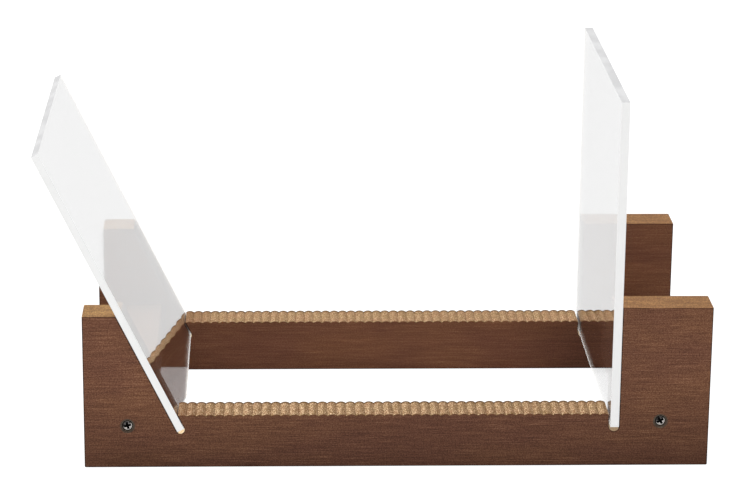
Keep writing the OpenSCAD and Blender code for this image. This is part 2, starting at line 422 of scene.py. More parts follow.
@dataclass(frozen=True)
class StainedWood(Recipe):
    """Dark stain over fine straight grain.

    Attributes:
        way: The way that the grain runs.
        middle: Colour between the streaks.
        cool: Colour of the broad redder clouds.
        top: Colour of faces turned upwards.
        left_top: Colour of those faces at the left end, if it differs there.
        rim: Colour of the painted shade on the eased edges.
        fineness: How much finer the grain is than on the rails.
        roughness: Roughness between the fibres.
        DEEPEN: What a dark line leaves of each part of the colour.
        LIFT: How much a light line raises each part of the colour.
        MARKS: The marks of the grain, in the order in which they are laid on.
        CLOUDS: Values of the grain's clouds between which they show.
        CLOUD_SHARE: How much of the clouds' colour is taken.
        UPWARD: Z of the way that a face looks, up to where it counts as turned upwards.
        LEFT_TOP_REACH: X where the tops start to take the left end's colour, and where they take it fully.
        TOP_CALM: How much weaker the marks are on the tops.
        FRONT_FACE: How far behind the front rail's face the mask over that face is 0, and is 1.
        LOW: Z where the painted shade on that face starts, and where it is deepest.
        SHADE_SHARE: How strong the painted shade on the front face and the painted shadow in the rear
            board's corner are.
        REAR_BOARD: How far before the rear rail the mask over the rear board is 0, and is 1.
        REAR_TONE: What is left of each part of the colour on that board.
        REAR_CALM: How much weaker the marks are there.
        CORNER_SHADOW_X: X where the painted shadow on the rear board's lower right starts, and where it is
            darkest.
        CORNER_SHADOW_Z: Z of the same, from above.
        ROUNDED: Y of the way that a face looks, up to where it counts as an eased edge.
        FLAT: The same, from a flat face to where it counts as an eased edge again.
        UPPER: Z of that way, from the upper edges, which are left out, to the others.
        EDGE_SHADE_BREAKS: Values of the streaks between which the painted shade on the eased edges shows.
        FIBRE_ROUGH: How much the roughness differs between the fibres.
        RELIEF: The relief of the grain.
    """

    way: GrainWay
    middle: Colour
    cool: Colour
    top: Colour
    left_top: Colour | None = None
    rim: Colour = paint(36, 25, 20)
    fineness: float = 1.0
    roughness: float = 0.62
    DEEPEN: ClassVar[Colour] = (0.39, 0.36, 0.40, 1.0)
    LIFT: ClassVar[Colour] = (2.0, 2.3, 2.3, 1.0)
    MARKS: ClassVar[tuple[GrainMark, ...]] = (
        GrainMark("Streak", (0.54, 0.38), 0.38, DEEPEN),
        GrainMark("Streak", (0.56, 0.70), 0.30, LIFT),
        GrainMark("Fibre", (0.52, 0.64), 0.36, LIFT),
        GrainMark("Fibre", (0.48, 0.36), 0.46, DEEPEN),
        GrainMark("Ring", (0.0, 1.0), 0.08, DEEPEN),
    )
    CLOUDS: ClassVar[Range] = (0.40, 0.62)
    CLOUD_SHARE: ClassVar[float] = 0.45
    UPWARD: ClassVar[Range] = (0.5, 0.9)
    LEFT_TOP_REACH: ClassVar[Range] = (0.0, -0.15)
    TOP_CALM: ClassVar[float] = 0.15
    FRONT_FACE: ClassVar[Range] = (10 * MM, 2 * MM)
    LOW: ClassVar[Range] = (62 * MM, 0.0)
    SHADE_SHARE: ClassVar[float] = 0.62
    REAR_BOARD: ClassVar[Range] = (12 * MM, 2 * MM)
    REAR_TONE: ClassVar[Colour] = (0.90, 0.85, 0.81, 1.0)
    REAR_CALM: ClassVar[float] = 0.35
    CORNER_SHADOW_X: ClassVar[Range] = (105 * MM, 160 * MM)
    CORNER_SHADOW_Z: ClassVar[Range] = (60 * MM, 34 * MM)
    ROUNDED: ClassVar[Range] = (0.05, 0.2)
    FLAT: ClassVar[Range] = (0.998, 0.97)
    UPPER: ClassVar[Range] = (0.6, 0.4)
    EDGE_SHADE_BREAKS: ClassVar[Range] = (0.80, 0.42)
    FIBRE_ROUGH: ClassVar[float] = 0.2
    RELIEF: ClassVar[Relief] = (0.08 * MM, 0.4)

    def draw(self, sheet: NodeSheet, shader: Node, effects: SharedEffects) -> None:
        """Draws the stain with its grain, and the painted shade on the eased edges.

        Args:
            sheet: The sheet to draw in.
            shader: The material's Principled shader.
            effects: The shared shader groups.
        """
        place = sheet.place()
        turned = sheet.add("ShaderNodeMapping", {"Vector": place, "Rotation": (0, 0, self.way.value)})
        grain = sheet.group(effects.grain, {"Vector": turned.outputs[0], "Fineness": self.fineness})
        facing = sheet.parts(sheet.facing())
        colour = self._colour(sheet, sheet.parts(place), facing, grain)
        # Painted shade along the eased edges, broken up by the streaks.
        edge_shade_mask = sheet.product(self._eased(sheet, facing), sheet.spread(grain["Streak"], *self.EDGE_SHADE_BREAKS))
        rough = sheet.product(grain["Fibre"], self.FIBRE_ROUGH)
        sheet.fill(shader, {
            "Base Color": sheet.blend(edge_shade_mask, colour, self.rim),
            "Roughness": sheet.math("ADD", rough, self.roughness - self.FIBRE_ROUGH / 2),
            "Specular IOR Level": WOOD_GLOSS,
        })
        sheet.bump(shader, sheet.math("ADD", grain["Fibre"], grain["Streak"]), *self.RELIEF)

    def _colour(self, sheet: NodeSheet, spot: Outputs, facing: Outputs, grain: Outputs) -> Socket:
        """Mixes the colour of the stained wood.

        Args:
            sheet: The sheet to draw in.
            spot: The X, Y and Z of a point.
            facing: The X, Y and Z of the way that the surface faces.
            grain: The outputs of the grain.

        Returns:
            The colour.
        """
        cloud = sheet.product(sheet.spread(grain["Cloud"], *self.CLOUDS), self.CLOUD_SHARE)
        colour = sheet.blend(cloud, self.middle, self.cool)
        rear_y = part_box("rear_rail")[0].y
        rear_board = sheet.spread(spot["Y"], *(rear_y - ahead for ahead in self.REAR_BOARD))
        # Painted shade: the front face darkens towards the bottom, and a painted shadow falls on the rear
        # board's lower right.
        front_and_corner_shade = sheet.product(self._shade_mask(sheet, spot, rear_board), self.SHADE_SHARE)
        colour = sheet.blend(front_and_corner_shade, colour, self.DEEPEN, "MULTIPLY")
        upward = sheet.spread(facing["Z"], *self.UPWARD)
        rear = sheet.product(rear_board, sheet.rest(upward))
        colour = sheet.blend(rear, colour, self.REAR_TONE, "MULTIPLY")
        top = sheet.blend(sheet.spread(spot["X"], *self.LEFT_TOP_REACH), self.top, self.left_top or self.top)
        colour = sheet.blend(upward, colour, top)
        calm = sheet.math("ADD", sheet.product(upward, self.TOP_CALM), sheet.product(rear, self.REAR_CALM))
        contrast = sheet.rest(calm)
        for mark in self.MARKS:
            mask = sheet.product(sheet.spread(grain[mark.output], *mark.reach), mark.share, contrast)
            colour = sheet.blend(mask, colour, mark.tone, "MULTIPLY")
        return colour

    def _shade_mask(self, sheet: NodeSheet, spot: Outputs, rear_board: Socket) -> Socket:
        """Makes a mask of painted shade.

        Args:
            sheet: The sheet to draw in.
            spot: The X, Y and Z of a point.
            rear_board: A mask over the rear board.

        Returns:
            A mask of painted shade that grows down the front face, and of a painted shadow in the rear
            board's lower right.
        """
        front_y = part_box("front_rail")[0].y
        front_face = sheet.spread(spot["Y"], *(front_y + behind for behind in self.FRONT_FACE))
        front = sheet.product(front_face, sheet.spread(spot["Z"], *self.LOW))
        # A painted shadow of the upright panel and the right block on the rear board's lower right.
        corner = sheet.product(
            rear_board, sheet.spread(spot["X"], *self.CORNER_SHADOW_X), sheet.spread(spot["Z"], *self.CORNER_SHADOW_Z),
        )
        return sheet.math("MAXIMUM", front, corner)

    def _eased(self, sheet: NodeSheet, facing: Outputs) -> Socket:
        """Makes a mask of painted shade over the eased edges round the front and rear faces, the upper ones
        left out.

        Args:
            sheet: The sheet to draw in.
            facing: The X, Y and Z of the way that the surface faces.

        Returns:
            The mask.
        """
        along_y = sheet.math("ABSOLUTE", facing["Y"])
        rounded, not_flat = sheet.spread(along_y, *self.ROUNDED), sheet.spread(along_y, *self.FLAT)
        return sheet.product(rounded, not_flat, sheet.spread(facing["Z"], *self.UPPER))


@dataclass(frozen=True)
class CutWood(Recipe):
    """Pale wood left by a cutter, with flecks of torn fibre.

    Attributes:
        body: Main colour.
        patch: Colour of the broad patches.
        bright: Colour of the light flecks.
        dark: Colour of the dark flecks, of the stain that creeps over the edges, and of the painted shade
            on the ridges' sides, towards the right and along the rear edge.
        end: Colour that the cut takes on towards one end.
        end_share: How strongly it takes that colour, from 0 to 1.
        end_reach: X where that colour stops, and X where it is strongest.
        bleed_and_shade_width: How far the dark band reaches in from the rail's front face and from its rear
            face: stain at the front, stain and painted shade at the rear.
        flank_shade: How dark the painted shade is on the sides of the ridges turned from the lamp, from 0
            to 1.
        glow: Painted glow, which stands for light that the clear sheet above leads down to it.
        right_shade: How much darker the cut is towards the right, from 0 to 1.
        roughness: Roughness of the cut.
        PATCHES: Values of the patches between which they show.
        LIGHT_SHARE: How strong the light flecks are.
        DARK_SHARE: How strong the dark flecks are.
        REAR: Y from the front rail to the rear rail, which was cut with a sharper tool.
        REAR_CALM: How much weaker the flecks and the right's shade are on the rear rail.
        REAR_FLANK_SHADE: How much weaker that painted shade is there.
        SHADED_FLANKS: X of the way that a face looks, up to where it counts as turned from the lamp and
            takes painted shade.
        RIGHT: X where the right's shade starts, and where it is full.
        BLEED_CORE: Share of the bleed's width in which the stain is full.
        RELIEF: The relief of the torn fibre.
    """

    body: Colour
    patch: Colour
    bright: Colour
    dark: Colour
    end: Colour
    end_share: float
    end_reach: Range
    bleed_and_shade_width: tuple[float, float]
    flank_shade: float = 0.0
    glow: float = 0.0
    right_shade: float = 0.0
    roughness: float = 0.85
    PATCHES: ClassVar[Range] = (0.38, 0.62)
    LIGHT_SHARE: ClassVar[float] = 0.92
    DARK_SHARE: ClassVar[float] = 0.76
    REAR: ClassVar[Range] = (-0.02, 0.02)
    REAR_CALM: ClassVar[float] = 0.4
    REAR_FLANK_SHADE: ClassVar[float] = 0.6
    SHADED_FLANKS: ClassVar[Range] = (-0.12, 0.08)
    RIGHT: ClassVar[Range] = (-0.02, 0.10)
    BLEED_CORE: ClassVar[float] = 0.4
    RELIEF: ClassVar[Relief] = (0.15 * MM, 0.5)

    def draw(self, sheet: NodeSheet, shader: Node, effects: SharedEffects) -> None:
        """Draws the pale cut with its flecks, the painted shade on its ridges' sides and towards the right,
        and the stain and painted shade at its borders.

        Args:
            sheet: The sheet to draw in.
            shader: The material's Principled shader.
            effects: The shared shader groups.
        """
        place = sheet.place()
        spot = sheet.parts(place)
        fleck = sheet.group(effects.fleck, {"Vector": place})
        rear = sheet.spread(spot["Y"], *self.REAR)
        torn = sheet.rest(rear, self.REAR_CALM)
        # Painted shade on the ridges' sides that look away from the lamp on the left.
        side = sheet.spread(sheet.parts(sheet.facing())["X"], *self.SHADED_FLANKS)
        colour = sheet.blend(sheet.spread(fleck["Patch"], *self.PATCHES), self.body, self.patch)
        colour = sheet.blend(sheet.product(fleck["Light"], self.LIGHT_SHARE, torn), colour, self.bright)
        for darkening in (
            sheet.product(fleck["Dark"], self.DARK_SHARE, torn),
            sheet.product(side, self.flank_shade, sheet.rest(rear, self.REAR_FLANK_SHADE)),
            sheet.product(sheet.spread(spot["X"], *self.RIGHT), self.right_shade, torn),
            # Stain along the front edge, stain and painted shade along the rear edge.
            self._bleed_and_shade(sheet, spot["Y"], fleck["Dark"]),
        ):
            colour = sheet.blend(darkening, colour, self.dark)
        end_tone = sheet.product(sheet.spread(spot["X"], *self.end_reach), self.end_share)
        sheet.fill(shader, {
            "Base Color": sheet.blend(end_tone, colour, self.end),
            "Roughness": self.roughness,
            "Specular IOR Level": WOOD_GLOSS,
            "Emission Color": self.body,
            "Emission Strength": self.glow,
        })
        sheet.bump(shader, sheet.math("SUBTRACT", fleck["Light"], fleck["Dark"]), *self.RELIEF)

    def _bleed_and_shade(self, sheet: NodeSheet, along_y: Socket, fleck: Socket) -> Socket:
        """Makes a mask where the stain of the rail faces has crept over the edges of the cut, with painted
        shade in the wider band along the rear face.

        Args:
            sheet: The sheet to draw in.
            along_y: The Y of a point.
            fleck: The dark flecks, which make the stain's border uneven.

        Returns:
            The mask.
        """
        low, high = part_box("rear_rail")
        middle, edge = (low.y + high.y) / 2, (high.y - low.y) / 2
        rail_middle = sheet.product(sheet.math("SIGN", along_y), middle)
        back = sheet.math("SUBTRACT", along_y, rail_middle)
        uneven = sheet.product(fleck, self.BLEED_CORE * self.bleed_and_shade_width[0])
        masks = []
        for way, width in zip((-1.0, 1.0), self.bleed_and_shade_width):
            reach = sheet.math("ADD", sheet.product(back, way), uneven)
            masks.append(sheet.spread(reach, edge - width, edge - self.BLEED_CORE * width))
        return sheet.math("MAXIMUM", *masks)


@dataclass(frozen=True)
class ClearSheet(Recipe):
    """Clear cast plastic. Lamp rays pass through it, so that it throws no dark shadow.

    Attributes:
        tint: Colour of what is seen through it.
        roughness: How much its haze blurs.
        ripple: How strong its ripples are.
        HAZE: Cells of the haze.
        RIPPLES: Cells of the ripples.
        RIPPLE_DEPTH: Depth of the ripples.
        SHADOW: What a lamp ray keeps of its colour.
    """

    tint: Colour
    roughness: float
    ripple: float
    HAZE: ClassVar[Triple] = (60, 60, 60)
    RIPPLES: ClassVar[Triple] = (900, 900, 900)
    RIPPLE_DEPTH: ClassVar[float] = 0.05 * MM
    SHADOW: ClassVar[Colour] = paint(247, 248, 249)

    def draw(self, sheet: NodeSheet, shader: Node, effects: SharedEffects) -> None:
        """Draws the clear plastic, and the open way for lamp rays.

        Args:
            sheet: The sheet to draw in.
            shader: The material's Principled shader.
            effects: The shared shader groups, which are not used here.
        """
        place = sheet.place()
        haze = sheet.product(sheet.noise(place, self.HAZE, 3), self.roughness)
        sheet.fill(shader, {
            "Base Color": self.tint,
            "Metallic": 0.0,
            "Roughness": sheet.math("ADD", haze, self.roughness / 2),
            "Transmission Weight": 1.0,
            "IOR": 1.49,
            "Coat Weight": 0.75,
            "Coat Roughness": 0.02,
        })
        sheet.bump(shader, sheet.noise(place, self.RIPPLES, 2), self.RIPPLE_DEPTH, self.ripple)
        open_way = sheet.add("ShaderNodeBsdfTransparent", {"Color": self.SHADOW})
        lamp_ray = sheet.add("ShaderNodeLightPath", {}).outputs["Is Shadow Ray"]
        inputs = {0: lamp_ray, 1: shader.outputs["BSDF"], 2: open_way.outputs["BSDF"]}
        surface = sheet.add("ShaderNodeMixShader", inputs).outputs[0]
        sheet.fill(sheet.tree.nodes["Material Output"], {"Surface": surface})


@dataclass(frozen=True)
class SheetEdge(Recipe):
    """The sanded edge of a clear sheet, with a painted glow that stands for the light it gathers from the
    whole sheet.

    Attributes:
        body: Colour of the edge.
        painted_glow: How strong its painted glow is.
        light_tint: Colour of that painted glow.
        SCRATCHES: Cells of the sanding scratches.
        SCRATCHED: Values of their noise between which they show.
        SMEARS: Cells of the smears.
        SMEARED: Values of their noise between which they show.
        DUST: Colour of the dust in both.
        DUST_SHARE: How much of it there is.
        ROUGH: Values of the scratches for a roughness of 0 and of 1.
        RELIEF: The relief of the scratches.
    """

    body: Colour
    painted_glow: float
    light_tint: Colour = (1.0, 1.0, 1.0, 1.0)
    SCRATCHES: ClassVar[Triple] = (1800, 260, 260)
    SCRATCHED: ClassVar[Range] = (0.35, 0.75)
    SMEARS: ClassVar[Triple] = (90, 45, 90)
    SMEARED: ClassVar[Range] = (0.42, 0.64)
    DUST: ClassVar[Colour] = paint(222, 222, 222)
    DUST_SHARE: ClassVar[float] = 0.14
    ROUGH: ClassVar[Range] = (-0.6, 2.2)
    RELIEF: ClassVar[Relief] = (0.03 * MM, 0.2)

    def draw(self, sheet: NodeSheet, shader: Node, effects: SharedEffects) -> None:
        """Draws the scratched and dusty edge with its painted glow.

        Args:
            sheet: The sheet to draw in.
            shader: The material's Principled shader.
            effects: The shared shader groups, which are not used here.
        """
        place = sheet.place()
        scratch = sheet.noise(place, self.SCRATCHES, 3)
        smear = sheet.spread(sheet.noise(place, self.SMEARS, 2), *self.SMEARED)
        marks = sheet.math("ADD", sheet.spread(scratch, *self.SCRATCHED), smear)
        sheet.fill(shader, {
            "Base Color": sheet.blend(sheet.product(marks, self.DUST_SHARE), self.body, self.DUST),
            "Roughness": sheet.spread(scratch, *self.ROUGH),
            "Emission Color": self.light_tint,
            "Emission Strength": self.painted_glow,
        })
        sheet.bump(shader, scratch, *self.RELIEF)


@dataclass(frozen=True)
class DarkSteel(Recipe):
    """Steel that is worn in places, with painted glints there and a painted shadow on one side.

    Attributes:
        body: Colour of the steel.
        rubbed_and_glint: Colour along its worn edges and in its worn spots, which is partly wear and partly
            painted glints.
        roughness: Roughness where it isn't worn.
        painted_shadow: How strong the painted shadow is on the side that looks the shaded way.
        metallic: How much of a metal's shine it has.
        SHADOW_COLOUR: Colour of the painted shadow.
        SHADED_WAY: The way that the shaded side looks, up and to the left, where the countersink's upper
            edge shades the head.
        SHADED_REACH: How far a face is turned that way, up to where it counts as shaded.
        SHADOW_GLINTS: How much of the painted shadow the worn spots leave out, as painted glints.
        SPOTS: Cells of the worn spots with their painted glints.
        SPOTTED: Values of their noise between which they show.
        SPOT_WEAR_AND_GLINT: How worn the spots are, and how bright their painted glints.
        EDGE_WIDTH: Width of the worn edges with their painted glints.
        EDGE_WEAR_AND_GLINT: How worn the edges are, and how bright their painted glints.
        POLISH: How much roughness the worn places lose.
        GRIT: Cells of the finest roughness.
        RELIEF: The relief of the grit.
    """

    body: Colour
    rubbed_and_glint: Colour
    roughness: float
    painted_shadow: float = 0.0
    metallic: float = 0.85
    SHADOW_COLOUR: ClassVar[Colour] = paint(18, 15, 15)
    SHADED_WAY: ClassVar[Triple] = (-0.55, 0.0, 0.83)
    SHADED_REACH: ClassVar[Range] = (-0.004, 0.018)
    SHADOW_GLINTS: ClassVar[float] = 0.4
    SPOTS: ClassVar[Triple] = (700, 700, 700)
    SPOTTED: ClassVar[Range] = (0.42, 0.7)
    SPOT_WEAR_AND_GLINT: ClassVar[float] = 0.2
    EDGE_WIDTH: ClassVar[float] = 0.45 * MM
    EDGE_WEAR_AND_GLINT: ClassVar[float] = 2.2
    POLISH: ClassVar[float] = 0.2
    GRIT: ClassVar[Triple] = (5200, 5200, 5200)
    RELIEF: ClassVar[Relief] = (0.03 * MM, 0.25)

    def draw(self, sheet: NodeSheet, shader: Node, effects: SharedEffects) -> None:
        """Draws the steel with its worn places, its painted glints and its painted shadow.

        Args:
            sheet: The sheet to draw in.
            shader: The material's Principled shader.
            effects: The shared shader groups.
        """
        place = sheet.place()
        spots = sheet.spread(sheet.noise(place, self.SPOTS, 4), *self.SPOTTED)
        edge = sheet.group(effects.edge, {"Radius": self.EDGE_WIDTH})["Edge"]
        # Wear, with painted glints along the edges and in the worn spots.
        wear_and_glints = sheet.math("ADD", sheet.product(spots, self.SPOT_WEAR_AND_GLINT), sheet.product(edge, self.EDGE_WEAR_AND_GLINT))
        # Painted shadow on the faces turned up and to the left, broken by painted glints in the worn spots.
        turned = sheet.vector("DOT_PRODUCT", sheet.facing(), self.SHADED_WAY, 1)
        unbroken_shadow = sheet.rest(spots, self.SHADOW_GLINTS)
        shadowed = sheet.product(sheet.spread(turned, *self.SHADED_REACH), self.painted_shadow, unbroken_shadow)
        sheet.fill(shader, {
            "Base Color": sheet.blend(shadowed, sheet.blend(wear_and_glints, self.body, self.rubbed_and_glint), self.SHADOW_COLOUR),
            "Metallic": self.metallic,
            "Roughness": sheet.math("SUBTRACT", self.roughness, sheet.product(wear_and_glints, self.POLISH)),
        })
        sheet.bump(shader, sheet.noise(place, self.GRIT, 2), *self.RELIEF)


class Workshop:
    """Makes each finish once and hands it out.

    Attributes:
        materials: The material of each finish.
        RECIPES: How each finish is made.
    """

    RECIPES: ClassVar[tuple[Recipe, ...]] = (
        StainedWood(
            Finish.RAIL_STAIN, GrainWay.ALONG_X, middle=paint(126, 85, 62), cool=paint(107, 68, 56),
            top=paint(124, 88, 55), left_top=paint(139, 104, 66),
        ),
        StainedWood(
            Finish.BAR_STAIN, GrainWay.ALONG_Y, middle=paint(108, 74, 57), cool=paint(94, 60, 54),
            top=paint(112, 80, 60),
        ),
        StainedWood(
            Finish.SUNK_WOOD, GrainWay.ALONG_X, middle=paint(96, 80, 68), cool=paint(80, 64, 54),
            top=paint(110, 92, 76), rim=paint(96, 80, 68),
        ),
        # The slot walls are stained; their tone, darker than the rails', is painted shade in the narrow
        # gaps beside the panels.
        StainedWood(
            Finish.SLOT_WALL, GrainWay.ALONG_X, middle=paint(88, 60, 46), cool=paint(76, 50, 42),
            top=paint(100, 74, 54),
        ),
        StainedWood(
            Finish.DOWEL_WOOD, GrainWay.ALONG_Y, middle=paint(214, 180, 136), cool=paint(206, 168, 124),
            top=paint(220, 186, 142), rim=paint(196, 158, 112), fineness=1.4,
        ),
        # The tread's darker left end is painted shade where the left blocks keep the lamp off.
        CutWood(
            Finish.TREAD, body=paint(133, 104, 69), patch=paint(139, 103, 73),
            bright=paint(220, 192, 156), dark=paint(80, 52, 22), end=paint(104, 68, 44),
            end_share=0.5, end_reach=(-0.104, -0.128), bleed_and_shade_width=(0.9 * MM, 3.4 * MM),
            flank_shade=0.40, right_shade=0.17,
        ),
        # The slot foot's glow is painted light from the clear sheet above.
        CutWood(
            Finish.SLOT_FOOT, body=paint(238, 220, 186), patch=paint(226, 200, 156),
            bright=paint(250, 238, 214), dark=paint(150, 112, 74), end=paint(134, 105, 76),
            end_share=1.0, end_reach=(0.0, 0.12), bleed_and_shade_width=(0.3 * MM, 0.3 * MM), glow=0.2,
        ),
        ClearSheet(Finish.CLEAR_FACE, tint=paint(250, 250, 250), roughness=0.02, ripple=0.02),
        # The glow of the sheet edges is painted light.
        SheetEdge(Finish.CLEAR_EDGE, body=paint(206, 206, 205), painted_glow=0.31),
        SheetEdge(Finish.CLEAR_TOP, body=paint(137, 137, 138), painted_glow=0.20),
        SheetEdge(
            Finish.CLEAR_FOOT, body=paint(206, 204, 200), painted_glow=0.75,
            light_tint=(1.0, 0.97, 0.92, 1.0),
        ),
        # The screw head carries painted glints and a painted shadow.
        DarkSteel(
            Finish.SCREW_STEEL, body=paint(178, 171, 165), rubbed_and_glint=paint(244, 240, 236),
            roughness=0.35, painted_shadow=1.0,
        ),
        # The dark ring round the crown is painted shade between the head and the countersink.
        DarkSteel(Finish.SCREW_RIM, body=paint(14, 11, 11), rubbed_and_glint=paint(40, 36, 34), roughness=0.6),
        DarkSteel(
            Finish.SCREW_SHANK, body=paint(142, 134, 118), rubbed_and_glint=paint(204, 198, 184),
            roughness=0.45, painted_shadow=0.4,
        ),
        # The near-black recess is painted shade in its depth.
        DarkSteel(Finish.RECESS, body=paint(9, 7, 7), rubbed_and_glint=paint(16, 13, 12), roughness=0.8),
    )

    def __init__(self) -> None:
        """Builds the shared effects and every material."""
        effects = SharedEffects()
        self.materials = {recipe.finish: recipe.material(effects) for recipe in self.RECIPES}

    def dress(self, piece: Piece, *finishes: Finish) -> None:
        """Gives a piece its materials.

        Args:
            piece: The piece.
            *finishes: Its finishes, in the order of its faces' numbers.
        """
        slots = piece.data.materials
        for number, finish in enumerate(finishes):
            if number < len(slots):
                slots[number] = self.materials[finish]
            else:
                slots.append(self.materials[finish])


# ---- mesh helpers ----


def middle_of(node: str) -> Vector:
    """The middle of a CAD node's box."""
    low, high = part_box(node)
    return (low + high) / 2


def as_object(name: str, shape: Shape) -> Piece:
    """Turns a finished bmesh into an object at the origin.

    Args:
        name: The object's name.
        shape: The bmesh, which is freed.

    Returns:
        The new object, linked to the scene.
    """
    bmesh.ops.recalc_face_normals(shape, faces=shape.faces[:])
    mesh = bpy.data.meshes.new(name)
    shape.to_mesh(mesh)
    shape.free()
    piece = bpy.data.objects.new(name, mesh)
    bpy.context.scene.collection.objects.link(piece)
    return piece


def settle(piece: Piece) -> None:
    """Replaces a piece's mesh with what its modifiers make of it.

    Args:
        piece: The piece.
    """
    graph = bpy.context.evaluated_depsgraph_get()
    graph.update()
    rough = piece.data
    piece.data = bpy.data.meshes.new_from_object(piece.evaluated_get(graph))
    piece.data.name = piece.name
    piece.modifiers.clear()
    bpy.data.meshes.remove(rough)


def carve(piece: Piece, cutters: Sequence[Piece]) -> None:
    """Cuts the cutters out of a piece and throws them away.

    Args:
        piece: The piece that is cut.
        cutters: Closed shapes, in the order in which they cut.
    """
    for cutter in cutters:
        cut = piece.modifiers.new("cut", "BOOLEAN")
        cut.operation = "DIFFERENCE"
        cut.solver = "EXACT"
        cut.object = cutter
    settle(piece)
    for cutter in cutters:
        bpy.data.objects.remove(cutter)


def smooth_rounds(piece: Piece, angle: float) -> None:
    """Shades the rounded faces of a piece smooth and keeps its flat faces flat.

    Args:
        piece: The piece.
        angle: Edges that bend more than this stay crisp.
    """
    piece.data.shade_smooth()
    piece.data.set_sharp_from_angle(angle=angle)
    flat = piece.modifiers.new("flat", "WEIGHTED_NORMAL")
    flat.keep_sharp = True
    settle(piece)


# ---- rails ----


class Stretch(Enum):
    """What a stretch of the rail's outline is, as the number of its finish."""

    OUTSIDE = 0
    TREAD = 1
    WALL = 2
    FOOT = 3
    SINK = 4


class Outline:
    """Draws a closed outline in X and Z, edge by edge. Round stretches are made by spin.

    Attributes:
        shape: The bmesh that it is drawn in.
        depth: Its Y.
        kind: The layer that holds what each edge is.
        first: The first point.
        last: The last point so far.
    """

    def __init__(self, depth: float) -> None:
        """Starts an outline.

        Args:
            depth: Its Y.
        """
        self.shape = bmesh.new()
        self.depth = depth
        self.kind = self.shape.edges.layers.int.new("stretch")
        self.first: bmesh.types.BMVert | None = None
        self.last: bmesh.types.BMVert | None = None

    def _mark(self, stretch: Stretch) -> None:
        """Writes on the edges that are new what they are.

        Args:
            stretch: What they are.
        """
        for edge in self.shape.edges:
            if not edge.tag:
                edge[self.kind] = stretch.value
                edge.tag = True

    def line(self, x: float, z: float, stretch: Stretch = Stretch.OUTSIDE) -> None:
        """Draws a straight edge to a point, or starts there.

        Args:
            x: X of the point.
            z: Z of the point.
            stretch: What the edge is.
        """
        point = self.shape.verts.new((x, self.depth, z))
        if self.last is None:
            self.first = point
        else:
            self.shape.edges.new((self.last, point))
        self.last = point
        self._mark(stretch)

    def arc(self, x: float, z: float, turn: float, steps: int, stretch: Stretch) -> None:
        """Turns the last point about a centre, clockwise as seen from the front.

        Args:
            x: X of the centre.
            z: Z of the centre.
            turn: How far it turns, in radians.
            steps: How many edges the arc has.
            stretch: What the arc is.
        """
        spun = bmesh.ops.spin(
            self.shape, geom=[self.last], cent=(x, self.depth, z), axis=(0, 1, 0), angle=turn,
            steps=steps, use_merge=False,
        )
        self.last = next(part for part in spun["geom_last"] if isinstance(part, bmesh.types.BMVert))
        self._mark(stretch)

    def close(self) -> None:
        """Joins the last point to the first and fills the outline with one face."""
        self.shape.edges.new((self.last, self.first))
        self._mark(Stretch.OUTSIDE)
        bmesh.ops.contextual_create(self.shape, geom=self.shape.edges[:])


@dataclass(frozen=True)
class Slot:
    """A slot with a round foot, open at the top, for a panel to stand in.

    Attributes:
        x: Centre of the round foot.
        z: Height of that centre.
        radius: Half the slot's width.
        lean: Lean from upright, in radians, positive to the left.
        WALL_GAP: Gap between the panel and the wall that it leans on.
        FOOT_GAP: Gap between the panel's lower corner and the round foot.
        FOOT_ARCS: Turn in degrees, edges and kind of each stretch of the round foot.
    """

    x: float
    z: float
    radius: float
    lean: float
    WALL_GAP: ClassVar[float] = 0.15 * MM
    FOOT_GAP: ClassVar[float] = 0.05 * MM
    FOOT_ARCS: ClassVar[tuple[tuple[float, int, Stretch], ...]] = (
        (-30, 3, Stretch.WALL), (-120, 10, Stretch.FOOT), (-30, 3, Stretch.WALL),
    )

    @classmethod
    def around(cls, panel: Panel, play: float, side: int) -> Slot:
        """Works out the slot of a panel.

        Args:
            panel: The panel that stands in it.
            play: Room that the slot leaves beside the panel.
            side: -1 where the panel lies on the slot's left wall, 1 where on its right wall.

        Returns:
            The slot.
        """
        radius = (panel.thickness + play) / 2
        face = radius - cls.WALL_GAP
        drop = math.sqrt((radius - cls.FOOT_GAP) ** 2 - face ** 2)
        offset = Vector((-side * (face - panel.thickness / 2), 0, drop - panel.height / 2))
        foot = panel.centre + Matrix.Rotation(-panel.lean, 3, "Y") @ offset
        return cls(foot.x, foot.z, radius, panel.lean)

    def wall(self, z: float, side: int) -> float:
        """Where the left wall (-1) or the right wall (1) of the slot is at a height."""
        return self.x - (z - self.z) * math.tan(self.lean) + side * self.radius / math.cos(self.lean)

    def tangent(self, side: int) -> tuple[float, float]:
        """Where the left wall (-1) or the right wall (1) runs into the round foot."""
        across = side * self.radius
        return self.x + across * math.cos(self.lean), self.z + across * math.sin(self.lean)

    def draw_foot(self, outline: Outline) -> None:
        """Draws the round foot, stained where its walls begin and bare at the bottom."""
        for turn, steps, stretch in self.FOOT_ARCS:
            outline.arc(self.x, self.z, math.radians(turn), steps, stretch)


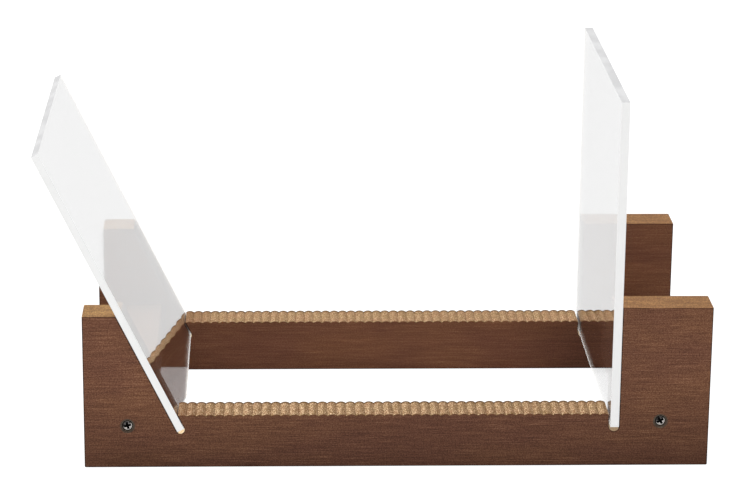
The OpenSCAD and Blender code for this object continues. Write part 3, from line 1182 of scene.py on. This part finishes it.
@dataclass
class RailPair:
    """The front and rear rail: blocks at the ends, a ridged tread between, and two slots.

    Attributes:
        lean_slot: The slanted slot at the left.
        upright_slot: The upright slot at the right.
        left_block_height: Height of the left blocks. The right ones reach up to the rails' box.
        tread_height: Height of the ridge crests.
        ridge_pitch: Distance aimed at from one ridge to the next.
        groove_depth: Depth of the grooves between the ridges.
        ridge_steps: Edges of each ridge's arc.
        edge_ease: How much the outer edges are eased.
        slot_ease: How much the rims of the slots are eased.
        crisp_ease: How much the tread's long edges are eased.
        ease_steps: Faces across an eased edge.
        blunt_angle: An edge across the rail that bends less than this isn't eased.
        smooth_angle: An edge that bends less than this is shaded round.
        hole_radius: Radius of the screw holes.
        mouth_radius: Radius of their countersinks at the face.
        dowel_hole_radius: Radius of the dowel holes.
        dowel_hole_depth: Depth of the dowel holes.
        drill_over: How far a drill reaches past the face that it opens.
        drill_edges: Edges round a drill.
        sink_face_area: Faces of the screw holes are smaller than this.
        sink_slope: Y of the way that they look is less than this, to either side.
    """

    lean_slot: Slot
    upright_slot: Slot
    left_block_height: float = 104.5 * MM
    tread_height: float = 36.4 * MM
    ridge_pitch: float = 6.1 * MM
    groove_depth: float = 1.1 * MM
    ridge_steps: int = 10
    edge_ease: float = 0.8 * MM
    slot_ease: float = 0.55 * MM
    crisp_ease: float = 0.18 * MM
    ease_steps: int = 3
    blunt_angle: float = math.radians(60)
    smooth_angle: float = math.radians(32)
    hole_radius: float = 2.5 * MM
    mouth_radius: float = 4.9 * MM
    dowel_hole_radius: float = 4.06 * MM
    dowel_hole_depth: float = 13 * MM
    drill_over: float = 2 * MM
    drill_edges: int = 48
    sink_face_area: float = 40 * MM * MM
    sink_slope: float = 0.95

    def build(self, shop: Workshop) -> list[Piece]:
        """Builds both rails.

        Args:
            shop: Where the finishes come from.

        Returns:
            The front rail and the rear rail.
        """
        rails = []
        for name, end in (("front", 1), ("rear", -1)):
            rail = self._board(f"{name}_rail_board", f"{name}_rail", shop)
            carve(rail, self._drills(name, "left", end) + self._drills(name, "right", end))
            self._mark_sinks(rail, name)
            smooth_rounds(rail, self.smooth_angle)
            rails.append(rail)
        return rails

    def _board(self, name: str, node: str, shop: Workshop) -> Piece:
        """Builds one rail with its eased edges, still without its screw holes.

        Args:
            name: The rail's name.
            node: The CAD node that it stands for.
            shop: Where the finishes come from.

        Returns:
            The rail.
        """
        low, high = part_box(node)
        outline = Outline(low.y)
        self._draw(outline, low, high)
        shape = outline.shape
        pushed = bmesh.ops.extrude_face_region(shape, geom=shape.faces[:], use_keep_orig=True)
        rear = [part for part in pushed["geom"] if isinstance(part, bmesh.types.BMVert)]
        bmesh.ops.translate(shape, vec=(0, high.y - low.y, 0), verts=rear)
        for face in shape.faces:
            if abs(face.calc_center_median().y - (low.y + high.y) / 2) < MM:
                drawn = next(
                    edge for edge in face.edges if all(vert.co.y < low.y + MM for vert in edge.verts)
                )
                face.material_index = drawn[outline.kind]
        self._weigh(shape, low, high)
        rail = as_object(name, shape)
        shop.dress(
            rail, Finish.RAIL_STAIN, Finish.TREAD, Finish.SLOT_WALL, Finish.SLOT_FOOT, Finish.SUNK_WOOD
        )
        ease = rail.modifiers.new("ease", "BEVEL")
        ease.limit_method = "WEIGHT"
        ease.width = self.edge_ease
        ease.segments = self.ease_steps
        settle(rail)
        return rail

    def _draw(self, outline: Outline, low: Vector, high: Vector) -> None:
        """Draws the rail's outline, clockwise as seen from the front, from its lower left corner.

        Args:
            outline: The outline that is drawn.
            low: Lowest corner of the rail's box.
            high: Highest corner of the rail's box.
        """
        lean_slot, upright_slot = self.lean_slot, self.upright_slot
        start = lean_slot.wall(self.tread_height, 1)
        end = upright_slot.x - upright_slot.radius
        count = math.floor((end - start) / self.ridge_pitch)
        step = (end - start) / count
        radius = ((step / 2) ** 2 + self.groove_depth ** 2) / (2 * self.groove_depth)
        axis_z = self.tread_height - radius
        half_turn = math.asin(step / 2 / radius)
        # The first ridge starts where its arc meets the slanted wall.
        wall_share = (radius * math.tan(lean_slot.lean) - step / 2) * math.cos(lean_slot.lean) / radius
        first_turn = math.asin(wall_share) - lean_slot.lean

        outline.line(low.x, low.z)
        outline.line(low.x, self.left_block_height)
        outline.line(lean_slot.wall(self.left_block_height, -1), self.left_block_height)
        outline.line(*lean_slot.tangent(-1), Stretch.WALL)
        lean_slot.draw_foot(outline)
        first_x = start + step / 2 + radius * math.sin(first_turn)
        outline.line(first_x, axis_z + radius * math.cos(first_turn), Stretch.WALL)
        for number in range(count):
            turn = half_turn - (first_turn if number == 0 else -half_turn)
            outline.arc(start + (number + 0.5) * step, axis_z, turn, self.ridge_steps, Stretch.TREAD)
        outline.line(*upright_slot.tangent(-1), Stretch.WALL)
        upright_slot.draw_foot(outline)
        outline.line(upright_slot.wall(high.z, 1), high.z, Stretch.WALL)
        outline.line(high.x, high.z)
        outline.line(high.x, low.z)
        outline.close()

    def _weigh(self, shape: Shape, low: Vector, high: Vector) -> None:
        """Marks how much each edge is eased: the outer edges fully, the cut ones only a little.

        Args:
            shape: The rail.
            low: Lowest corner of its box.
            high: Highest corner of its box.
        """
        weight = shape.edges.layers.float.new("bevel_weight_edge")
        kind = shape.edges.layers.int["stretch"]
        for edge in shape.edges:
            first, second = (vert.co for vert in edge.verts)
            along_y = abs(first.y - second.y) > MM
            at_end = min(abs(first.x - x) for x in (low.x, high.x)) < HAIR
            at_level = min(abs(first.z - z) for z in (low.z, high.z, self.left_block_height)) < HAIR
            upright = at_end and abs(first.x - second.x) < HAIR
            level = at_level and abs(first.z - second.z) < HAIR
            blunt = edge.calc_face_angle(0.0) < self.blunt_angle
            if (along_y and at_end) or (not along_y and (upright or level)):
                ease = self.edge_ease
            elif along_y and (blunt or first.z < self.tread_height):
                ease = 0.0
            elif edge[kind] == Stretch.TREAD.value:
                ease = self.crisp_ease
            else:
                ease = self.slot_ease
            edge[weight] = ease / self.edge_ease

    def _drills(self, rail: str, side: str, end: int) -> list[Piece]:
        """Makes the cutters of a screw hole and a dowel hole.

        Args:
            rail: front or rear.
            side: left or right.
            end: 1 at the front and -1 at the rear.

        Returns:
            The cutters.
        """
        low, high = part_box(f"{rail}_rail")
        face, inner = (low.y, high.y) if end > 0 else (high.y, low.y)
        screw, dowel = middle_of(f"{rail}_{side}_screw"), middle_of(f"{rail}_{side}_dowel")
        outside, inside = face - end * self.drill_over, inner + end * self.drill_over
        sink_radius = self.hole_radius / 2
        sink_end = face + end * (self.mouth_radius - sink_radius)
        dowel_end = inner - end * self.dowel_hole_depth
        cutters = []
        for spot, start, stop, mouth, foot in (
            (screw, outside, inside, self.hole_radius, self.hole_radius),
            (screw, outside, sink_end, self.mouth_radius + self.drill_over, sink_radius),
            (dowel, dowel_end, inside, self.dowel_hole_radius, self.dowel_hole_radius),
        ):
            place = Matrix.Translation((spot.x, (start + stop) / 2, spot.z))
            shape = bmesh.new()
            bmesh.ops.create_cone(
                shape, cap_ends=True, segments=self.drill_edges, radius1=mouth, radius2=foot,
                depth=abs(stop - start), matrix=place @ Matrix.Rotation(-end * math.pi / 2, 4, "X"),
            )
            cutters.append(as_object("drill", shape))
        return cutters

    def _mark_sinks(self, rail: Piece, name: str) -> None:
        """Gives the walls of the screw holes the finish of countersunk wood.

        Args:
            rail: The rail.
            name: front or rear.
        """
        for side in ("left", "right"):
            axis = middle_of(f"{name}_{side}_screw").xz
            for face in rail.data.polygons:
                near = (Vector(face.center).xz - axis).length < self.mouth_radius
                if near and face.area < self.sink_face_area and abs(face.normal.y) < self.sink_slope:
                    face.material_index = Stretch.SINK.value


# ---- panels ----


class SheetPart(Enum):
    """The parts of a clear sheet, as the numbers of their finishes."""

    FACE = 0
    FRONT = 1
    TOP = 2
    FOOT_AND_REAR = 3

    @classmethod
    def facing(cls, way: Vector) -> SheetPart:
        """Tells which part looks a given way, before the sheet leans.

        Args:
            way: The way.

        Returns:
            The part.
        """
        straight, half = 0.99, 0.5
        if abs(way.x) >= straight:
            return cls.FACE
        if way.z > half:
            return cls.TOP
        return cls.FOOT_AND_REAR if way.z < -half or way.y > half else cls.FRONT


@dataclass
class Panel:
    """A clear sheet that lifts out of its slots.

    Attributes:
        node: The name of its CAD node and of its body.
        lean: Lean from upright, in radians, positive to the left.
        centre: The middle of the sheet.
        thickness: Its thickness.
        depth: Its size from front to back.
        height: Its size along its slope.
        edge_break: How much its sharp edges are broken.
        smooth_angle: An edge that bends less than this is shaded round.
    """

    node: str
    lean: float
    centre: Vector
    thickness: float
    depth: float
    height: float
    edge_break: float = 0.2 * MM
    smooth_angle: float = math.radians(20)

    @classmethod
    def from_frame(cls, node: str, joints: list[dict[str, Any]]) -> Panel:
        """Works a panel's sizes out from its box and from the way that it lifts out.

        Args:
            node: The name of its CAD node and of its body.
            joints: The frame's joints.

        Returns:
            The panel.
        """
        axis = next(joint["axis"] for joint in joints if joint["child"] == node)
        lean = math.atan2(-axis[0], axis[2])
        low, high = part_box(node)
        size = high - low
        cos, sin = math.cos(lean), math.sin(lean)
        thickness = (size.x * cos - size.z * sin) / math.cos(2 * lean)
        height = (size.z * cos - size.x * sin) / math.cos(2 * lean)
        return cls(node, lean, (low + high) / 2, thickness, size.y, height)

    def build(self, shop: Workshop) -> Piece:
        """Builds the sheet with broken edges.

        Args:
            shop: Where the finishes come from.

        Returns:
            The panel.
        """
        shape = bmesh.new()
        bmesh.ops.create_cube(shape, size=1.0)
        bmesh.ops.scale(shape, vec=(self.thickness, self.depth, self.height), verts=shape.verts[:])
        bmesh.ops.bevel(
            shape, geom=shape.edges[:], offset=self.edge_break, affect="EDGES", segments=2,
            profile=0.5, material=-1,
        )
        for face in shape.faces:
            face.material_index = SheetPart.facing(face.normal).value
        place = Matrix.Translation(self.centre) @ Matrix.Rotation(-self.lean, 4, "Y")
        bmesh.ops.transform(shape, matrix=place, verts=shape.verts[:])
        panel = as_object(f"{self.node}_sheet", shape)
        smooth_rounds(panel, self.smooth_angle)
        shop.dress(panel, Finish.CLEAR_FACE, Finish.CLEAR_EDGE, Finish.CLEAR_TOP, Finish.CLEAR_FOOT)
        return panel


# ---- fasteners ----


class ScrewPart(Enum):
    """The parts of a screw, as the numbers of their finishes."""

    CROWN = 0
    RECESS = 1
    DARK_RING = 2
    SHANK = 3


@dataclass
class WoodScrew:
    """A countersunk wood screw with a cross recess, a plain neck and a thread.

    Attributes:
        head_radius: Radius of the head.
        neck_radius: Radius of the neck and of the thread's crest.
        core_radius: Radius of the core under the thread.
        neck_length: How far down from the head's top the neck reaches.
        tip_length: Length of the pointed tip.
        crown_share: Share of the head's radius that the bright crown covers.
        ring_share: Share of it where the dark ring of painted shade round the crown ends.
        rim_drop: How far the rounded rim of the head reaches down before its cone starts.
        round_steps: Faces round the head, the neck and the core.
        weld: Points of the body that are closer than this become one.
        recess_span: Reach of the cross recess over the head.
        recess_width: Width of its arms.
        recess_depth: Its depth.
        recess_foot: What is left of an arm's length and width at the bottom.
        cutter_over: How far the recess's cutter stands out of the head.
        pitch: Height of one turn of the thread.
        thread_root: Half the thread's width at its root.
        thread_bite: How deep the thread is sunk in the core.
        thread_steps: Steps of one turn of the thread.
        thread_end: How far above the tip's end the thread stops.
        thread_least: How much of its radius the thread keeps at the tip.
        smooth_angle: An edge that bends less than this is shaded round.
    """

    head_radius: float = 3.9 * MM
    neck_radius: float = 2.25 * MM
    core_radius: float = 1.5 * MM
    neck_length: float = 22 * MM
    tip_length: float = 5 * MM
    crown_share: float = 0.75
    ring_share: float = 0.92
    rim_drop: float = 0.25 * MM
    round_steps: int = 40
    weld: float = 0.001 * MM
    recess_span: float = 5.3 * MM
    recess_width: float = 1.75 * MM
    recess_depth: float = 1.9 * MM
    recess_foot: tuple[float, float] = (0.7, 0.75)
    cutter_over: float = 0.5 * MM
    pitch: float = 2.2 * MM
    thread_root: float = 0.55 * MM
    thread_bite: float = 0.1 * MM
    thread_steps: int = 20
    thread_end: float = 0.8 * MM
    thread_least: float = 0.15
    smooth_angle: float = math.radians(28)

    def build(self, shop: Workshop, corner: str, end: int, turn: float) -> Piece:
        """Builds one screw where the frame has it.

        Args:
            shop: Where the finishes come from.
            corner: The corner's name, such as front_left.
            end: 1 at the front and -1 at the rear.
            turn: How far its recess is turned, in degrees.

        Returns:
            The screw.
        """
        low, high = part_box(f"{corner}_screw")
        middle, length = (low + high) / 2, high.y - low.y
        place = (
            Matrix.Translation((middle.x, low.y if end > 0 else high.y, middle.z))
            @ Matrix.Rotation(end * math.pi / 2, 4, "X")
            @ Matrix.Rotation(math.radians(turn), 4, "Z")
        )
        screw = self._body(f"{corner}_wood_screw", length)
        shop.dress(screw, Finish.SCREW_STEEL, Finish.RECESS, Finish.SCREW_RIM, Finish.SCREW_SHANK)
        carve(screw, [self._arm(0.0), self._arm(math.pi / 2)])
        shape = bmesh.new()
        shape.from_mesh(screw.data)
        self._thread(shape, length)
        bmesh.ops.transform(shape, matrix=place, verts=shape.verts[:])
        shape.to_mesh(screw.data)
        shape.free()
        smooth_rounds(screw, self.smooth_angle)
        return screw

    def _body(self, name: str, length: float) -> Piece:
        """Spins the head, neck and core, with the head's top at the origin and the tip below.

        Args:
            name: The screw's name.
            length: Its whole length.

        Returns:
            The screw without its recess and thread.
        """
        # Shares of the head's radius, and how far the head has dropped there.
        crown = (
            (0.0, 0.0), (0.45, 0.03 * MM), (self.crown_share, 0.08 * MM), (self.ring_share, 0.14 * MM),
            (0.97, 0.24 * MM), (1.0, 0.4 * MM),
        )
        cone = self.head_radius - self.neck_radius
        profile = [(share * self.head_radius, -drop) for share, drop in crown] + [
            (self.neck_radius, -self.rim_drop - cone),
            (self.neck_radius, -self.neck_length),
            (self.core_radius, -self.neck_length - self.pitch / 2),
            (self.core_radius, self.tip_length - length),
            (0.0, -length),
        ]
        shape = bmesh.new()
        verts = [shape.verts.new((radius, 0, z)) for radius, z in profile]
        edges = [shape.edges.new(pair) for pair in zip(verts, verts[1:])]
        bmesh.ops.spin(
            shape, geom=verts + edges, cent=(0, 0, 0), axis=(0, 0, 1), angle=2 * math.pi,
            steps=self.round_steps, use_merge=True,
        )
        bmesh.ops.remove_doubles(shape, verts=shape.verts[:], dist=self.weld)
        # The dark ring between the crown and the lip is painted shade.
        for face in shape.faces:
            centre = face.calc_center_median()
            share = centre.xy.length / self.head_radius
            if share > self.ring_share or centre.z < -self.rim_drop:
                face.material_index = ScrewPart.SHANK.value
            elif share > self.crown_share:
                face.material_index = ScrewPart.DARK_RING.value
        return as_object(name, shape)

    def _arm(self, turn: float) -> Piece:
        """Makes the cutter of one pair of arms of the recess, which narrows as it goes down.

        Args:
            turn: How far the arms are turned, in radians.

        Returns:
            The cutter.
        """
        size = (self.recess_span, self.recess_width, self.recess_depth + self.cutter_over)
        shape = bmesh.new()
        bmesh.ops.create_cube(shape, size=1.0)
        bmesh.ops.scale(shape, vec=size, verts=shape.verts[:])
        bmesh.ops.translate(shape, vec=(0, 0, self.cutter_over - size[2] / 2), verts=shape.verts[:])
        for face in shape.faces:
            face.material_index = ScrewPart.RECESS.value
        foot = [vert for vert in shape.verts if vert.co.z < 0]
        bmesh.ops.scale(shape, vec=(*self.recess_foot, 1), verts=foot)
        bmesh.ops.rotate(shape, cent=(0, 0, 0), matrix=Matrix.Rotation(turn, 3, "Z"), verts=shape.verts[:])
        return as_object("recess_arm", shape)

    def _thread(self, shape: Shape, length: float) -> None:
        """Winds the thread round the core, drawn in towards the tip.

        Args:
            shape: The screw, which gets the thread.
            length: The screw's whole length.
        """
        core = set(shape.verts)
        top = -self.neck_length - self.pitch / 2
        steps = math.floor((top + length - self.thread_end) / self.pitch * self.thread_steps)
        root = self.core_radius - self.thread_bite
        profile = [(root, self.thread_root), (self.neck_radius, 0.0), (root, -self.thread_root)]
        verts = [shape.verts.new((radius, 0, top + z)) for radius, z in profile]
        edges = [shape.edges.new((verts[side], verts[(side + 1) % 3])) for side in range(3)]
        shape.faces.new(verts)
        spun = bmesh.ops.spin(
            shape, geom=verts + edges, cent=(0, 0, 0), axis=(0, 0, 1),
            dvec=(0, 0, -self.pitch / self.thread_steps), angle=2 * math.pi * steps / self.thread_steps,
            steps=steps,
        )
        last = [part for part in spun["geom_last"] if isinstance(part, bmesh.types.BMEdge)]
        bmesh.ops.contextual_create(shape, geom=last)
        for vert in set(shape.verts) - core:
            if vert.co.z < self.tip_length - length:
                vert.co.xy *= max(self.thread_least, (vert.co.z + length) / self.tip_length)
        bmesh.ops.recalc_face_normals(shape, faces=shape.faces[:])


# ---- the studio ----


@dataclass
class Studio:
    """Floor, lights and camera.

    Attributes:
        floor_side: Side of the square floor.
        floor_tone: Colour of the floor, as the camera and mirrors see it.
        floor_bounce: Colour of the floor, as the light that it throws back sees it.
        floor_glow: Light of the floor in mirrors. The camera sees it as white, and it throws none back.
        key_strength: Strength of the lamp.
        key_width: How wide the lamp is in the sky, in degrees.
        key_way: The way from the stand to the lamp.
        sky_strength: Strength of the even glow.
        lens: Length of the lens, in millimetres.
        sensor: Width of the sensor, in millimetres.
        camera_place: Where the camera is.
        pitch: How far the camera looks down, in degrees.
        yaw: How far it looks to the right, in degrees.
        roll: How far it is turned about its own axis, in degrees.
        shift: Shift of the lens, as shares of the picture's width.
    """

    floor_side: float = 40.0
    floor_tone: float = 0.12
    floor_bounce: float = 0.5
    floor_glow: float = 0.72
    key_strength: float = 3.4
    key_width: float = 30.0
    key_way: Triple = (-0.3, 0.15, 1.0)
    sky_strength: float = 0.68
    lens: float = 135.09
    sensor: float = 36.0
    camera_place: Triple = (-0.0717, -1.8337, 0.6881)
    pitch: float = 16.563
    yaw: float = 1.551
    roll: float = 0.327
    shift: tuple[float, float] = (0.05, -0.05)

    def build(self) -> None:
        """Builds the floor, the lights and the camera."""
        self._floor()
        self._lights()
        self._camera()

    def _floor(self) -> None:
        """Lays a pale floor that the camera sees as white."""
        shape = bmesh.new()
        bmesh.ops.create_grid(shape, x_segments=1, y_segments=1, size=self.floor_side / 2)
        floor = as_object("floor", shape)
        if floor.data.polygons[0].normal.z < 0:
            floor.data.flip_normals()
        material = bpy.data.materials.new("pale_floor")
        material.use_nodes = True
        sheet = NodeSheet(material.node_tree)
        ray = sheet.add("ShaderNodeLightPath", {}).outputs
        seen, thrown = ((tone, tone, tone, 1.0) for tone in (self.floor_tone, self.floor_bounce))
        white = sheet.product(ray["Is Camera Ray"], 1.0 - self.floor_glow)
        none_back = sheet.product(ray["Is Diffuse Ray"], self.floor_glow)
        glow = sheet.math("ADD", self.floor_glow, sheet.math("SUBTRACT", white, none_back))
        sheet.fill(material.node_tree.nodes["Principled BSDF"], {
            "Base Color": sheet.blend(ray["Is Diffuse Ray"], seen, thrown),
            "Roughness": 1.0,
            "Specular IOR Level": 0.0,
            "Emission Color": (1, 1, 1, 1),
            "Emission Strength": glow,
        })
        floor.data.materials.append(material)

    def _lights(self) -> None:
        """Hangs one broad lamp up to the left, with an even glow all round."""
        lamp = bpy.data.lights.new("soft_key", "SUN")
        lamp.energy = self.key_strength
        lamp.angle = math.radians(self.key_width)
        key = bpy.data.objects.new("soft_key", lamp)
        key.rotation_euler = Vector(self.key_way).to_track_quat("Z", "Y").to_euler()
        bpy.context.scene.collection.objects.link(key)
        world = bpy.data.worlds.new("studio_glow")
        world.use_nodes = True
        inputs = {"Color": (1, 1, 1, 1), "Strength": self.sky_strength}
        NodeSheet(world.node_tree).fill(world.node_tree.nodes["Background"], inputs)
        bpy.context.scene.world = world

    def _camera(self) -> None:
        """Sets the camera up at the photograph's angle."""
        view = bpy.data.cameras.new("camera")
        view.lens = self.lens
        view.sensor_width = self.sensor
        view.shift_x, view.shift_y = self.shift
        camera = bpy.data.objects.new("camera", view)
        pitch, yaw, roll = (math.radians(angle) for angle in (self.pitch, self.yaw, self.roll))
        ahead = Vector((math.sin(yaw) * math.cos(pitch), math.cos(yaw) * math.cos(pitch), -math.sin(pitch)))
        level = Vector((math.cos(yaw), -math.sin(yaw), 0))
        upward = level.cross(ahead)
        right = level * math.cos(roll) + upward * math.sin(roll)
        top = upward * math.cos(roll) - level * math.sin(roll)
        turn = Matrix((right, top, -ahead)).transposed()
        camera.matrix_world = Matrix.Translation(self.camera_place) @ turn.to_4x4()
        bpy.context.scene.collection.objects.link(camera)
        bpy.context.scene.camera = camera
        bpy.context.scene.view_settings.view_transform = "Standard"


# ---- putting it together ----


def seat(piece: Piece, body: str, node: str) -> None:
    """Ties a piece to its body and the CAD node that it stands for.

    Args:
        piece: The piece.
        body: The body that it rides on.
        node: The CAD node.
    """
    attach(piece, body)
    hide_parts(node)
    LOG.info("%s rides on %s for %s", piece.name, body, node)


def main() -> None:
    """Builds every piece of the stand round its frame."""
    logging.basicConfig(level=logging.INFO, format="%(name)s: %(message)s")
    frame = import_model()
    Studio().build()
    shop = Workshop()

    leaning = Panel.from_frame("leaning_panel", frame["joints"])
    upright = Panel.from_frame("upright_panel", frame["joints"])
    for panel in (leaning, upright):
        seat(panel.build(shop), panel.node, panel.node)

    rails = RailPair(Slot.around(leaning, LEAN_PLAY, -1), Slot.around(upright, UPRIGHT_PLAY, 1))
    for rail, node in zip(rails.build(shop), ("front_rail", "rear_rail")):
        seat(rail, "base", node)

    screw = WoodScrew()
    finishes = {"left_crossbar": Finish.BAR_STAIN, "right_crossbar": Finish.BAR_STAIN}
    for corner, turn in RECESS_TURNS.items():
        end = 1 if corner.startswith("front") else -1
        seat(screw.build(shop, corner, end, turn), "base", f"{corner}_screw")
        finishes[f"{corner}_dowel"] = Finish.DOWEL_WOOD
    for node, finish in finishes.items():
        shop.dress(frame["nodes"][node], finish)
        LOG.info("%s keeps its own shape", node)


if __name__ == "__main__":
    main()
